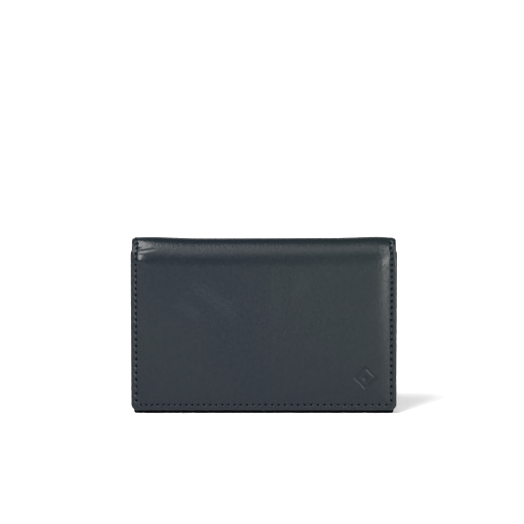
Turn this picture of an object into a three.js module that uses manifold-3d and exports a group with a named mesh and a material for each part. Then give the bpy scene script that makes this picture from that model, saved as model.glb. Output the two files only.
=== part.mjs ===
// Gusseted business-card case in turned-edge leather, standing on its lower edge, closed.
//
// Frame: millimetres, +Z up, +X to the right, +Y to the back. The flap faces -Y, and the origin is
// in the middle of the footprint. The leather runs up the back panel, over the spine and down the
// flap, and it bends at two folds along X. Each fold is a quarter circle in section, and is shared
// half and half by the two bodies that turn about it. Sections are drawn in the YZ plane and
// extruded along X.

import * as THREE from "three";
import { mergeVertices } from "three/addons/utils/BufferGeometryUtils.js";
import Module from "manifold-3d";

const wasm = await Module();
wasm.setup();

// Whole case
const WIDTH = 110;
const HEIGHT = 73;
const DEPTH = 15;
const CORNER_RADIUS = 1.8;
const FLAP_LIFT = 1.6; // the flap's lower edge stops this far above the ground

// Layers of the outer panels, from the outside in
const LEATHER = 1.0;
const PADDING = 0.4;
const BOARD = 0.5;
const LINING = 0.5;
const LAYER_GAP = 0.1;
const HEM = 1.3; // width of the turned edge beside the boards and the lining

// Folds
const FOLD_RADIUS = 3.5; // of the leather's outer face
const FOLD_GAP = 0.3; // between the two bodies, where they meet halfway round a fold
const FOLD_STEPS = 6; // facets in one half of a fold
const BOARD_END = 3.6; // the boards stop this far below the start of a fold
const LINING_STEP = 3.2; // the lining moves out to the leather between here and the fold

// Card pocket on the back panel
const SLIP_PANEL = 0.8;
const FLAP_CLEARANCE = 0.3; // between the slip panels of the flap and of the pocket
const WALL_LEATHER = 0.9;
const WALL_BOARD = 0.4;
const WALL_TOP = 60;
const WALL_INSET = 1.0; // the wall's sides stand in from the case's sides
const WALL_HEM = 1.2;
const BASE_THICKNESS = 1.0;
const GUSSET_THICKNESS = 0.5;
const GUSSET_FOLD = 5.6; // how far the gusset folds in between its two edges
const GUSSET_EDGE_GAP = 0.35; // from a gusset's mid-line to the lining beside it

// Slip panels for single cards
const FLAP_SLIP_TOP = 50;
const FLAP_SLIP_INSET = 1.2;
const WALL_SLIP_TOP = 45;

// Stitching: one flat run of thread, flush in a groove
const THREAD_WIDTH = 0.6;
const THREAD_DEPTH = 0.2;
const STITCH_INSET = 2.2;
const GROOVE_SIDE = 0.3; // clearance on each side of the thread
const GROOVE_FLOOR = 0.3; // clearance under the thread

const OVERSHOOT = 1; // how far a cutting solid reaches past the face that it cuts

// Places worked out from the sizes above
const HALF_WIDTH = WIDTH / 2;
const HALF_DEPTH = DEPTH / 2;
const FOLD_Y = HALF_DEPTH - FOLD_RADIUS;
const FOLD_Z = HEIGHT - FOLD_RADIUS;
const HALF_GAP_ANGLE = FOLD_GAP / 2 / FOLD_RADIUS;
const PADDING_AT = LEATHER + LAYER_GAP;
const BOARD_AT = PADDING_AT + PADDING + LAYER_GAP;
const LINING_AT = BOARD_AT + BOARD + LAYER_GAP;
const PANEL_DEPTH = LINING_AT + LINING;
const FOLD_LINING_AT = LEATHER + LAYER_GAP;
const FOLD_DEPTH = FOLD_LINING_AT + LINING;
const INNER_HALF_WIDTH = HALF_WIDTH - HEM - LAYER_GAP;
const FLAP_SLIP_FRONT = -HALF_DEPTH + PANEL_DEPTH + LAYER_GAP;
const WALL_SLIP_FRONT = FLAP_SLIP_FRONT + SLIP_PANEL + FLAP_CLEARANCE;
const WALL_FRONT = WALL_SLIP_FRONT + SLIP_PANEL + LAYER_GAP;
const WALL_BOARD_AT = WALL_LEATHER + LAYER_GAP;
const WALL_LINING_AT = WALL_BOARD_AT + WALL_BOARD + LAYER_GAP;
const WALL_BACK = WALL_FRONT + WALL_LINING_AT + LINING;
const POCKET_BACK = HALF_DEPTH - PANEL_DEPTH;
const WALL_HALF_WIDTH = HALF_WIDTH - WALL_INSET;
const STITCH_X = HALF_WIDTH - STITCH_INSET;
const GUSSET_OPENING = POCKET_BACK - WALL_BACK - 2 * GUSSET_EDGE_GAP;
const GUSSET_BOTTOM = BASE_THICKNESS + LAYER_GAP;
const GROOVE_WIDTH = THREAD_WIDTH + 2 * GROOVE_SIDE;
const GROOVE_DEPTH = THREAD_DEPTH + GROOVE_FLOOR;

const LEATHER_LOOK = { color: 0x33393f, roughness: 0.5, metalness: 0 };
const LINING_LOOK = { color: 0x23272d, roughness: 0.8, metalness: 0 };
const FOAM_LOOK = { color: 0x8a8a86, roughness: 0.9, metalness: 0 };
const BOARD_LOOK = { color: 0x9a8f7c, roughness: 0.9, metalness: 0 };
const THREAD_LOOK = { color: 0x252b3b, roughness: 0.6, metalness: 0 };

const SECTION_AXES = new THREE.Matrix4().makeBasis(
  new THREE.Vector3(0, 1, 0),
  new THREE.Vector3(0, 0, 1),
  new THREE.Vector3(1, 0, 0),
);
const PLATE_AXES = new THREE.Matrix4().makeBasis(
  new THREE.Vector3(1, 0, 0),
  new THREE.Vector3(0, 0, 1),
  new THREE.Vector3(0, -1, 0),
);

// ---- solids ----

function solidOf(geometry) {
  const bare = geometry.clone();
  bare.deleteAttribute("normal");
  bare.deleteAttribute("uv");
  const merged = mergeVertices(bare, 1e-4);
  const vertProperties = merged.attributes.position.array;
  const triVerts = new Uint32Array(merged.index.array);
  return new wasm.Manifold(new wasm.Mesh({ numProp: 3, vertProperties, triVerts }));
}

function geometryOf(solid) {
  const { vertProperties, triVerts } = solid.getMesh();
  const geometry = new THREE.BufferGeometry();
  geometry.setAttribute("position", new THREE.BufferAttribute(vertProperties, 3));
  geometry.setIndex(new THREE.BufferAttribute(triVerts, 1));
  geometry.computeVertexNormals();
  return geometry;
}

// A YZ section extruded along X, from left to right.
function sectionSolid(points, left, right) {
  const shape = new THREE.Shape(points);
  const geometry = new THREE.ExtrudeGeometry(shape, { depth: right - left, bevelEnabled: false });
  geometry.applyMatrix4(SECTION_AXES);
  geometry.translate(left, 0, 0);
  return solidOf(geometry);
}

// An XZ outline extruded along Y, from front to back.
function plateSolid(shape, front, back) {
  const options = { depth: back - front, bevelEnabled: false, curveSegments: 5 };
  const geometry = new THREE.ExtrudeGeometry(shape, options);
  geometry.applyMatrix4(PLATE_AXES);
  geometry.translate(0, back, 0);
  return solidOf(geometry);
}

function boxSolid(low, high) {
  const size = new THREE.Vector3().subVectors(high, low);
  const geometry = new THREE.BoxGeometry(size.x, size.y, size.z);
  geometry.translate(low.x + size.x / 2, low.y + size.y / 2, low.z + size.z / 2);
  return solidOf(geometry);
}

// A rectangle centred on x = 0, with its lower and its upper corners rounded as asked.
function panelOutline(halfWidth, bottom, top, lowerRadius, upperRadius) {
  const shape = new THREE.Shape();
  shape.moveTo(-halfWidth + lowerRadius, bottom);
  shape.lineTo(halfWidth - lowerRadius, bottom);
  if (lowerRadius > 0) {
    shape.absarc(halfWidth - lowerRadius, bottom + lowerRadius, lowerRadius, -Math.PI / 2, 0);
  }
  shape.lineTo(halfWidth, top - upperRadius);
  if (upperRadius > 0) {
    shape.absarc(halfWidth - upperRadius, top - upperRadius, upperRadius, 0, Math.PI / 2);
  }
  shape.lineTo(-halfWidth + upperRadius, top);
  if (upperRadius > 0) {
    shape.absarc(-halfWidth + upperRadius, top - upperRadius, upperRadius, Math.PI / 2, Math.PI);
  }
  shape.lineTo(-halfWidth, bottom + lowerRadius);
  if (lowerRadius > 0) {
    const start = -halfWidth + lowerRadius;
    shape.absarc(start, bottom + lowerRadius, lowerRadius, Math.PI, Math.PI * 1.5);
  }
  return shape;
}

// ---- lines across the case, in the YZ plane ----

// Part of a fold at a depth under the leather's outer face. The angle is measured from the panel.
function foldArc(side, depth, fromAngle, toAngle) {
  const radius = FOLD_RADIUS - depth;
  const points = [];
  for (let step = 0; step <= FOLD_STEPS; step += 1) {
    const angle = fromAngle + ((toAngle - fromAngle) * step) / FOLD_STEPS;
    const y = side * (FOLD_Y + radius * Math.cos(angle));
    points.push(new THREE.Vector2(y, FOLD_Z + radius * Math.sin(angle)));
  }
  return points;
}

// A line up one panel to the middle of its fold. side is 1 for the back and -1 for the flap.
// panelDepth is its depth in the flat panel, and foldDepth its depth in the fold.
function panelLine(side, bottom, panelDepth, foldDepth) {
  const panelY = side * (HALF_DEPTH - panelDepth);
  const line = [new THREE.Vector2(panelY, bottom)];
  if (panelDepth !== foldDepth) {
    line.push(new THREE.Vector2(panelY, FOLD_Z - LINING_STEP));
  }
  const end = Math.PI / 4 - HALF_GAP_ANGLE;
  return line.concat(foldArc(side, foldDepth, 0, end));
}

// A line over the spine, from the middle of the rear fold to the middle of the front fold.
function spineLine(depth) {
  const start = Math.PI / 4 + HALF_GAP_ANGLE;
  const rear = foldArc(1, depth, start, Math.PI / 2);
  const front = foldArc(-1, depth, start, Math.PI / 2);
  return rear.concat(front.reverse());
}

// The closed section between two lines that run the same way.
function between(outer, inner) {
  return outer.concat([...inner].reverse());
}

// ---- pieces of an outer panel ----

// A band on a panel's outer face that follows the left, lower and right edges.
function panelStitchBand(side, bottom, width, above, depth) {
  const low = bottom + STITCH_INSET - width / 2;
  const section = between(panelLine(side, low, -above, -above), panelLine(side, low, depth, depth));
  const left = sectionSolid(section, -STITCH_X - width / 2, -STITCH_X + width / 2);
  const right = sectionSolid(section, STITCH_X - width / 2, STITCH_X + width / 2);
  const faces = [side * (HALF_DEPTH + above), side * (HALF_DEPTH - depth)].sort((a, b) => a - b);
  const lower = boxSolid(
    new THREE.Vector3(-STITCH_X, faces[0], low),
    new THREE.Vector3(STITCH_X, faces[1], low + width),
  );
  return left.add(right).add(lower);
}

// The leather: a tray with turned edges, open to the inside, with half a fold at its top.
function panelCover(side, bottom) {
  const outside = panelLine(side, bottom, 0, 0);
  const inside = panelLine(side, bottom, PANEL_DEPTH, FOLD_DEPTH);
  const whole = sectionSolid(between(outside, inside), -HALF_WIDTH, HALF_WIDTH);
  const outline = panelOutline(HALF_WIDTH, bottom, HEIGHT + OVERSHOOT, CORNER_RADIUS, 0);
  const rounded = whole.intersect(plateSolid(outline, -DEPTH, DEPTH));
  const trayBottom = bottom + HEM;
  const trayFloor = panelLine(side, trayBottom, LEATHER, LEATHER);
  const deeper = panelLine(side, trayBottom, PANEL_DEPTH + OVERSHOOT, FOLD_DEPTH + OVERSHOOT);
  const tray = sectionSolid(between(trayFloor, deeper), -HALF_WIDTH + HEM, HALF_WIDTH - HEM);
  const groove = panelStitchBand(side, bottom, GROOVE_WIDTH, OVERSHOOT, GROOVE_DEPTH);
  return rounded.subtract(tray).subtract(groove);
}

function panelLayer(side, bottom, depth, thickness) {
  const faces = [side * (HALF_DEPTH - depth), side * (HALF_DEPTH - depth - thickness)];
  faces.sort((a, b) => a - b);
  const top = FOLD_Z - BOARD_END;
  const outline = panelOutline(INNER_HALF_WIDTH, bottom + HEM + LAYER_GAP, top, 0, 0);
  return plateSolid(outline, faces[0], faces[1]);
}

function panelLining(side, bottom) {
  const low = bottom + HEM + LAYER_GAP;
  const outer = panelLine(side, low, LINING_AT, FOLD_LINING_AT);
  const inner = panelLine(side, low, PANEL_DEPTH, FOLD_DEPTH);
  return sectionSolid(between(outer, inner), -INNER_HALF_WIDTH, INNER_HALF_WIDTH);
}

// ---- spine ----

// One run of thread across the spine, at x = 0.
function spineThread() {
  const section = between(spineLine(0), spineLine(THREAD_DEPTH));
  return sectionSolid(section, -THREAD_WIDTH / 2, THREAD_WIDTH / 2);
}

function spineCover() {
  const whole = sectionSolid(between(spineLine(0), spineLine(FOLD_DEPTH)), -HALF_WIDTH, HALF_WIDTH);
  const tray = between(spineLine(LEATHER), spineLine(FOLD_DEPTH + OVERSHOOT));
  let cover = whole.subtract(sectionSolid(tray, -HALF_WIDTH + HEM, HALF_WIDTH - HEM));
  const groove = between(spineLine(-OVERSHOOT), spineLine(GROOVE_DEPTH));
  for (const middle of [-STITCH_X, STITCH_X]) {
    const [left, right] = [middle - GROOVE_WIDTH / 2, middle + GROOVE_WIDTH / 2];
    cover = cover.subtract(sectionSolid(groove, left, right));
  }
  return cover;
}

function spineLining() {
  const section = between(spineLine(FOLD_LINING_AT), spineLine(FOLD_DEPTH));
  return sectionSolid(section, -INNER_HALF_WIDTH, INNER_HALF_WIDTH);
}

// ---- flat runs of thread on slip panels and on the pocket wall ----

// A U-shaped band in the XZ plane. Its middle line is halfWidth from x = 0, its legs reach from
// runZ to endZ, and the U opens towards endZ.
function uBand(halfWidth, runZ, endZ, width, front, back) {
  const half = width / 2;
  const outward = Math.sign(endZ - runZ);
  const outer = halfWidth + half;
  const inner = halfWidth - half;
  const runOutside = runZ - outward * half;
  const runInside = runZ + outward * half;
  const corners = [
    [-outer, endZ],
    [-outer, runOutside],
    [outer, runOutside],
    [outer, endZ],
    [inner, endZ],
    [inner, runInside],
    [-inner, runInside],
    [-inner, endZ],
  ];
  const shape = new THREE.Shape(corners.map(([x, z]) => new THREE.Vector2(x, z)));
  return plateSolid(shape, front, back);
}

const FLAP_STITCH_Z = FLAP_LIFT + STITCH_INSET;
const FLAP_SLIP = {
  halfWidth: HALF_WIDTH - FLAP_SLIP_INSET,
  bottom: FLAP_LIFT + FLAP_SLIP_INSET,
  front: FLAP_SLIP_FRONT,
  back: FLAP_SLIP_FRONT + SLIP_PANEL,
};

function flapSlipPanel() {
  const { halfWidth, bottom, front, back } = FLAP_SLIP;
  const outline = panelOutline(halfWidth, bottom, FLAP_SLIP_TOP, CORNER_RADIUS / 2, 0);
  const panel = plateSolid(outline, front, back);
  const end = FLAP_SLIP_TOP + OVERSHOOT;
  const floor = back - GROOVE_DEPTH;
  const outside = back + OVERSHOOT;
  return panel.subtract(uBand(STITCH_X, FLAP_STITCH_Z, end, GROOVE_WIDTH, floor, outside));
}

function flapInnerThread() {
  const { back } = FLAP_SLIP;
  const front = back - THREAD_DEPTH;
  return uBand(STITCH_X, FLAP_STITCH_Z, FLAP_SLIP_TOP, THREAD_WIDTH, front, back);
}

// ---- pocket ----

const WALL_STITCH_X = WALL_HALF_WIDTH - STITCH_INSET;
const WALL_SLIP_STITCH_Z = STITCH_INSET;
const WALL_TOP_STITCH_Z = WALL_TOP - STITCH_INSET;
const WALL_LEG_END = WALL_SLIP_TOP + THREAD_WIDTH;

function wallCover() {
  const outline = panelOutline(WALL_HALF_WIDTH, 0, WALL_TOP, CORNER_RADIUS, CORNER_RADIUS);
  const whole = plateSolid(outline, WALL_FRONT, WALL_BACK);
  const trayHalfWidth = WALL_HALF_WIDTH - WALL_HEM;
  const trayOutline = panelOutline(trayHalfWidth, WALL_HEM, WALL_TOP - WALL_HEM, 0, 0);
  const tray = plateSolid(trayOutline, WALL_FRONT + WALL_LEATHER, WALL_BACK + OVERSHOOT);
  const floor = WALL_FRONT + GROOVE_DEPTH;
  const legEnd = WALL_LEG_END - GROOVE_SIDE;
  const outside = WALL_FRONT - OVERSHOOT;
  const groove = uBand(WALL_STITCH_X, WALL_TOP_STITCH_Z, legEnd, GROOVE_WIDTH, outside, floor);
  return whole.subtract(tray).subtract(groove);
}

function wallTopThread() {
  const back = WALL_FRONT + THREAD_DEPTH;
  return uBand(WALL_STITCH_X, WALL_TOP_STITCH_Z, WALL_LEG_END, THREAD_WIDTH, WALL_FRONT, back);
}

function wallLayer(depth, thickness) {
  const halfWidth = WALL_HALF_WIDTH - WALL_HEM - LAYER_GAP;
  const bottom = WALL_HEM + LAYER_GAP;
  const outline = panelOutline(halfWidth, bottom, WALL_TOP - bottom, 0, 0);
  return plateSolid(outline, WALL_FRONT + depth, WALL_FRONT + depth + thickness);
}

function wallSlipPanel() {
  const back = WALL_SLIP_FRONT + SLIP_PANEL;
  const radius = CORNER_RADIUS / 2;
  const outline = panelOutline(WALL_HALF_WIDTH, 0, WALL_SLIP_TOP, radius, 0);
  const panel = plateSolid(outline, WALL_SLIP_FRONT, back);
  const end = WALL_SLIP_TOP + OVERSHOOT;
  const floor = WALL_SLIP_FRONT + GROOVE_DEPTH;
  const outside = WALL_SLIP_FRONT - OVERSHOOT;
  const groove = uBand(WALL_STITCH_X, WALL_SLIP_STITCH_Z, end, GROOVE_WIDTH, outside, floor);
  return panel.subtract(groove);
}

function wallSlipThread() {
  const back = WALL_SLIP_FRONT + THREAD_DEPTH;
  const front = WALL_SLIP_FRONT;
  return uBand(WALL_STITCH_X, WALL_SLIP_STITCH_Z, WALL_SLIP_TOP, THREAD_WIDTH, front, back);
}

function pocketBase() {
  return boxSolid(
    new THREE.Vector3(-WALL_HALF_WIDTH, WALL_BACK + LAYER_GAP, 0),
    new THREE.Vector3(WALL_HALF_WIDTH, POCKET_BACK - LAYER_GAP, BASE_THICKNESS),
  );
}

// A strip folded to a V, for the right-hand side. Its two edges are on the plane x = 0 and its fold
// reaches to -X, halfway between them at y = 0. It stands on z = 0.
function gusset() {
  const halfOpening = GUSSET_OPENING / 2;
  const slope = Math.atan2(halfOpening, GUSSET_FOLD);
  const across = GUSSET_THICKNESS / 2 / Math.cos(slope); // along Y, from the mid-line to a face
  const along = GUSSET_THICKNESS / 2 / Math.sin(slope); // along X, at the fold
  const corners = [
    [0, halfOpening + across],
    [-GUSSET_FOLD - along, 0],
    [0, -halfOpening - across],
    [0, -halfOpening + across],
    [-GUSSET_FOLD + along, 0],
    [0, halfOpening - across],
  ];
  const shape = new THREE.Shape(corners.map(([x, y]) => new THREE.Vector2(x, y)));
  const depth = WALL_TOP - GUSSET_BOTTOM;
  return solidOf(new THREE.ExtrudeGeometry(shape, { depth, bevelEnabled: false }));
}

// ---- the case ----

// A named mesh, added to the group of the body that it moves with.
function addPiece(body, name, solid, look) {
  const mesh = new THREE.Mesh(geometryOf(solid), new THREE.MeshStandardMaterial(look));
  mesh.name = name;
  body.add(mesh);
  return mesh;
}

// What a turned-edge panel is made of, from its leather to its lining.
function addPanel(body, name, side, bottom) {
  const thread = panelStitchBand(side, bottom, THREAD_WIDTH, 0, THREAD_DEPTH);
  addPiece(body, `${name}_cover`, panelCover(side, bottom), LEATHER_LOOK);
  addPiece(body, `${name}_padding`, panelLayer(side, bottom, PADDING_AT, PADDING), FOAM_LOOK);
  addPiece(body, `${name}_board`, panelLayer(side, bottom, BOARD_AT, BOARD), BOARD_LOOK);
  addPiece(body, `${name}_lining`, panelLining(side, bottom), LINING_LOOK);
  addPiece(body, `${name}_stitching`, thread, THREAD_LOOK);
}

function backPanel() {
  const body = new THREE.Group();
  addPanel(body, "back", 1, 0);
  addPiece(body, "pocket_base", pocketBase(), LEATHER_LOOK);
  for (const [name, side] of [["left_gusset", -1], ["right_gusset", 1]]) {
    const mesh = addPiece(body, name, gusset(), LEATHER_LOOK);
    mesh.position.set(side * WALL_HALF_WIDTH, (POCKET_BACK + WALL_BACK) / 2, GUSSET_BOTTOM);
    mesh.rotation.z = side > 0 ? 0 : Math.PI;
  }
  return body;
}

function spine() {
  const body = new THREE.Group();
  addPiece(body, "spine_cover", spineCover(), LEATHER_LOOK);
  addPiece(body, "spine_lining", spineLining(), LINING_LOOK);
  addPiece(body, "spine_stitching_left", spineThread(), THREAD_LOOK).position.x = -STITCH_X;
  addPiece(body, "spine_stitching_right", spineThread(), THREAD_LOOK).position.x = STITCH_X;
  return body;
}

function flap() {
  const body = new THREE.Group();
  addPanel(body, "flap", -1, FLAP_LIFT);
  addPiece(body, "flap_slip_panel", flapSlipPanel(), LEATHER_LOOK);
  addPiece(body, "flap_inner_stitching", flapInnerThread(), THREAD_LOOK);
  return body;
}

function pocketWall() {
  const body = new THREE.Group();
  addPiece(body, "wall_cover", wallCover(), LEATHER_LOOK);
  addPiece(body, "wall_board", wallLayer(WALL_BOARD_AT, WALL_BOARD), BOARD_LOOK);
  addPiece(body, "wall_lining", wallLayer(WALL_LINING_AT, LINING), LINING_LOOK);
  addPiece(body, "wall_slip_panel", wallSlipPanel(), LEATHER_LOOK);
  addPiece(body, "wall_stitching", wallSlipThread(), THREAD_LOOK);
  addPiece(body, "wall_top_stitching", wallTopThread(), THREAD_LOOK);
  return body;
}

const cardCase = new THREE.Group();
cardCase.add(backPanel(), spine(), flap(), pocketWall());

export default cardCase;
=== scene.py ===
"""The looks of a gusseted business-card case in dark navy leather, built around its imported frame.

Sizes are millimetres, and become metres when a mesh is written. A point of the outer leather is
given by x, by its station s, and by its depth under the outer face. The station is the height on
the flat panel, and then it goes on round the fold and over the spine to its middle.
"""

import math

import bmesh
import bpy
import numpy as np
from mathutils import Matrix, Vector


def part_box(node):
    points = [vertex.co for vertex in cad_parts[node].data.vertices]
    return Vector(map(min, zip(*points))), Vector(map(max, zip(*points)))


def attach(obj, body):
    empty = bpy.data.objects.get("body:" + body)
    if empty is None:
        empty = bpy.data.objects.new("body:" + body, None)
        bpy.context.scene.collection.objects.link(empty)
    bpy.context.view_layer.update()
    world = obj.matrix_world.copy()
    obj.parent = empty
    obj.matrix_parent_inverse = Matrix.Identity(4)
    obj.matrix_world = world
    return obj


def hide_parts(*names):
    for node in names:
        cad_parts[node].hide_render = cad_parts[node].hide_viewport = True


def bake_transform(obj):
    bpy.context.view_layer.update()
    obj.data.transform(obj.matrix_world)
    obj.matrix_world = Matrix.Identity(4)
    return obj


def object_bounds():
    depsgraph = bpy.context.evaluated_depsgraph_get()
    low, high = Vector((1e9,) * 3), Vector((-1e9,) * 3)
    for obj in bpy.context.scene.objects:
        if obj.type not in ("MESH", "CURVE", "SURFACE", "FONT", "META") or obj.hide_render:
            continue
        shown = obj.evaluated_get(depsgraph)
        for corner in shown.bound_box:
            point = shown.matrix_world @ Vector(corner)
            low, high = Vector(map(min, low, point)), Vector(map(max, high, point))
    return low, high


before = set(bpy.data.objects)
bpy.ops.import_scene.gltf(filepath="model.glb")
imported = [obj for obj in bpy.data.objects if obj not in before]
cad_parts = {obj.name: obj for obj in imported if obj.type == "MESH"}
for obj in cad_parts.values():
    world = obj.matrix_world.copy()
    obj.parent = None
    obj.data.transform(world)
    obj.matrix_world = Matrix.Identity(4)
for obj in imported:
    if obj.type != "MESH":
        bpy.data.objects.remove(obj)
cad_low, cad_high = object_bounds()

MM = 0.001

# ---- sizes, from the frame ----


def box_mm(node):
    """Lowest and highest corner of a CAD node, in millimetres."""
    low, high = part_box(node)
    return np.array(low) / MM, np.array(high) / MM


HALF_WIDTH = cad_high.x / MM
HALF_DEPTH = cad_high.y / MM
HEIGHT = cad_high.z / MM
FRONT, REAR = -1, 1
BOTTOM = {FRONT: box_mm("flap_cover")[0][2], REAR: 0.0}
PANEL_DEPTH = box_mm("back_cover")[1][1] - box_mm("back_lining")[0][1]
LAYER_GAP = 0.1  # between the leather and what lies under it
LEATHER = HALF_DEPTH - box_mm("back_padding")[1][1] - LAYER_GAP
LINING = 0.5
LINING_AT = PANEL_DEPTH - LINING
FOLD_LINING_AT = LEATHER + LAYER_GAP
FOLD_DEPTH = FOLD_LINING_AT + LINING
PANEL_TOP = box_mm("back_board")[1][2]

# ---- the soft shape of the leather ----

FOLD_RISE = 11.2  # height and depth of a fold's quarter ellipse
FOLD_REACH = 4.8
THINNING = 4.0  # height over which a panel thins to the two layers of the fold
SAG = 0.66  # of the spine between its stitched ends
SAG_MIDDLE = 1.5  # to the right of the case's middle
SAG_END = 52.5  # distance from its middle to where it fades out
SAG_FULL = 27.5
SAG_FOOT = 30.0  # height up to which it doesn't draw down the panel's leather
EDGE = 1.2  # of the rounding on a turned edge
CORNER = 2.5
FOLD_INSET = 0.45  # at each side, where the leather goes over the top
STITCH_INSET = 2.2
STITCH_CORNER = 1.9
MARGIN = 0.85  # how far the stitched margin lies under the nominal face
CROWN = 1.25  # of the padded field over the margin
CROWN_WIDTH = 4.6
CROWN_AT_FOOT = 0.5  # share of it that is left at the foot
CROWN_FULL_AT = 55.0
FADE = 0.85  # share of the crown and of the margin that is lost over the top, at the left
CROWN_KEPT = 0.25  # share that is lost less at the right
MARGIN_KEPT = 0.13
TUCK = 0.75  # how far the stitches draw in the corners beside the fold
TUCK_WIDTH = 4.5
TUCK_LESS = 0.8  # share that is missing at the right
HALF_MIDDLE = 30.0  # half the width between the left and the right end of a panel
PINCH_FULL = 40.0  # distance from the middle at which the corner creases are full
PINCH_RIGHT = 0.3  # their share at the right
PINCH_WIDTH = 0.6
BULGE = 0.72  # of the flap below the pinched corner
BULGE_AT = (3.6, 2.3)  # distance from the side, and below PANEL_TOP
BULGE_SIZE = (2.2, 2.1)
VALLEY = 0.15  # along the stitches
VALLEY_WIDTH = 0.42
GROOVE_WIDTH = 0.35  # of the line that the stitches are pulled into
PIT = 0.26  # depth of a needle hole
PIT_LENGTH = 0.68
PIT_WIDTH = 0.48
PITCH = 2.6
UNEVEN = 0.12  # of the pitch, which the hand-fed machine lets grow along a run
LIP = 0.6  # of a crease, share of its depth
LIP_WIDTH = 2.4  # in widths of the crease
CREASE_FADE = 0.3  # share of its length at each end
BROAD_SWAY = 0.10
NARROW_SWAY = 0.05
MARK_CENTRE = (42.0, 15.4)
MARK_REACH = 4.3
MARK_LINE = 0.35  # half the width of its outline
MARK_CORE = (0.36, 0.26)  # shares of its reach, between which its middle is pressed in
MARK_DEPTH = 0.2

# Creases that run in from the stitches: their ends, as a distance from the side and a height over
# PANEL_TOP, and their depth
PINCH_CREASES = [
    ((2.3, 1.6), (11.5, 3.3), 0.10),
    ((2.3, 3.4), (8.0, 4.4), 0.05),
    ((2.3, 0.4), (6.5, 0.0), 0.03),
]

# Faint wrinkles of the hide: ends of each line, depth and width
FLAP_WRINKLES = [
    ((-33.0, 57.5), (-7.0, 36.5), 0.06, 0.55),
    ((-30.0, 58.0), (-9.0, 41.5), 0.05, 0.5),
    ((3.5, 64.0), (6.0, 35.0), 0.03, 0.6),
    ((-37.0, 49.0), (-26.0, 39.0), 0.06, 0.7),
    ((18.0, 60.0), (12.0, 47.0), 0.05, 0.8),
]
BACK_WRINKLES = [
    ((24.0, 52.0), (9.0, 33.0), 0.04, 0.55),
    ((-14.0, 61.0), (-20.0, 38.0), 0.03, 0.6),
    ((34.0, 40.0), (22.0, 30.0), 0.03, 0.5),
]

FOLD_START = HEIGHT - FOLD_RISE
TURNS = np.linspace(0, math.pi / 2, 65)
TURN_STEPS = np.hypot(FOLD_REACH * np.diff(np.cos(TURNS)), FOLD_RISE * np.diff(np.sin(TURNS)))
TURN_STATIONS = FOLD_START + np.concatenate([[0], np.cumsum(TURN_STEPS)])
FOLD_END = TURN_STATIONS[-1]
SEAM = FOLD_END + HALF_DEPTH - FOLD_REACH
CHANGE_START = PANEL_TOP - 3.4  # stations between which the panel changes for the fold
CHANGE_END = PANEL_TOP + 5.5
TUCK_START = PANEL_TOP + 3  # stations between which the corners are drawn in in full
TUCK_END = PANEL_TOP + 5
INSET_START = PANEL_TOP + 1.2
INSET_END = PANEL_TOP + 3


def smooth(value, start, end):
    """0 before start, 1 after end, and a smooth step between them. start may be above end."""
    t = np.clip((np.asarray(value, float) - start) / (end - start), 0, 1)
    return t * t * (3 - 2 * t)


def always(value):
    """A function of one or two coordinates that has the same value everywhere."""
    return lambda x, s=None: np.full(np.shape(x), value)


def unit(vectors):
    return vectors / np.linalg.norm(vectors, axis=1)[:, None]


def bell(distance, width):
    """1 at no distance, and falling off on both sides."""
    return np.exp(-((distance / width) ** 2))


def spine_sag(x):
    return SAG * smooth(np.abs(x - SAG_MIDDLE), SAG_END, SAG_FULL)


def panel_thickness(s):
    return PANEL_DEPTH + (FOLD_DEPTH - PANEL_DEPTH) * smooth(s, PANEL_TOP, PANEL_TOP + THINNING)


def lining_depth(s):
    return LINING_AT + (FOLD_LINING_AT - LINING_AT) * smooth(s, PANEL_TOP, PANEL_TOP + THINNING)


def leather_point(side, x, s, depth):
    """Where a point of one half of the leather lies. side is FRONT or REAR."""
    x, s, depth = np.broadcast_arrays(*(np.asarray(a, float) for a in (x, s, depth)))
    turn = np.interp(s, TURN_STATIONS, TURNS)
    over = np.maximum(s - FOLD_END, 0) / (SEAM - FOLD_END)
    out, up = np.cos(turn) / FOLD_REACH, np.sin(turn) / FOLD_RISE
    length = np.hypot(out, up)
    low = np.minimum(s, FOLD_START) - spine_sag(x) * smooth(s, SAG_FOOT, FOLD_START)
    y = (HALF_DEPTH - FOLD_REACH) * (1 - over) + FOLD_REACH * np.cos(turn) - depth * out / length
    z = low + FOLD_RISE * np.sin(turn) - depth * up / length
    narrowing = 1 - FOLD_INSET / HALF_WIDTH * smooth(s, INSET_START, INSET_END)
    return np.stack([x * narrowing, side * y, z], axis=-1)


def edge_distance(side, x, s):
    """Distance from the case's outline, with round corners."""
    across, up = HALF_WIDTH - np.abs(x), np.asarray(s, float) - BOTTOM[side]
    corner = STITCH_INSET + STITCH_CORNER
    rounded = corner - np.hypot(corner - across, corner - up)
    return np.where((across < corner) & (up < corner), rounded, np.minimum(across, up))


def crease(x, s, start, end, depth, width):
    """A shallow crease along a line, fading towards both its ends."""
    a, b = np.array(start, float), np.array(end, float)
    along = ((x - a[0]) * (b - a)[0] + (s - a[1]) * (b - a)[1]) / np.dot(b - a, b - a)
    foot = a[None, :] + np.clip(along, 0, 1)[:, None] * (b - a)[None, :]
    distance = np.hypot(x - foot[:, 0], s - foot[:, 1]) / width
    fade = smooth(along, 0, CREASE_FADE) * smooth(along, 1, 1 - CREASE_FADE)
    return depth * fade * (LIP * bell(distance, LIP_WIDTH) - bell(distance, 1))


def wrinkles(side, x, s):
    lines = FLAP_WRINKLES if side == FRONT else BACK_WRINKLES
    return sum(crease(x, s, *line) for line in lines)


def pinch(x, s):
    """Creases that run together at the stitches, where they hold the end of a fold."""
    inward = HALF_WIDTH - np.abs(x)
    over = s - PANEL_TOP
    total = sum(crease(inward, over, *line, PINCH_WIDTH) for line in PINCH_CREASES)
    left = smooth(x, -HALF_MIDDLE, -PINCH_FULL)
    right = smooth(x, HALF_MIDDLE, PINCH_FULL)
    return total * (left + PINCH_RIGHT * right)


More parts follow.
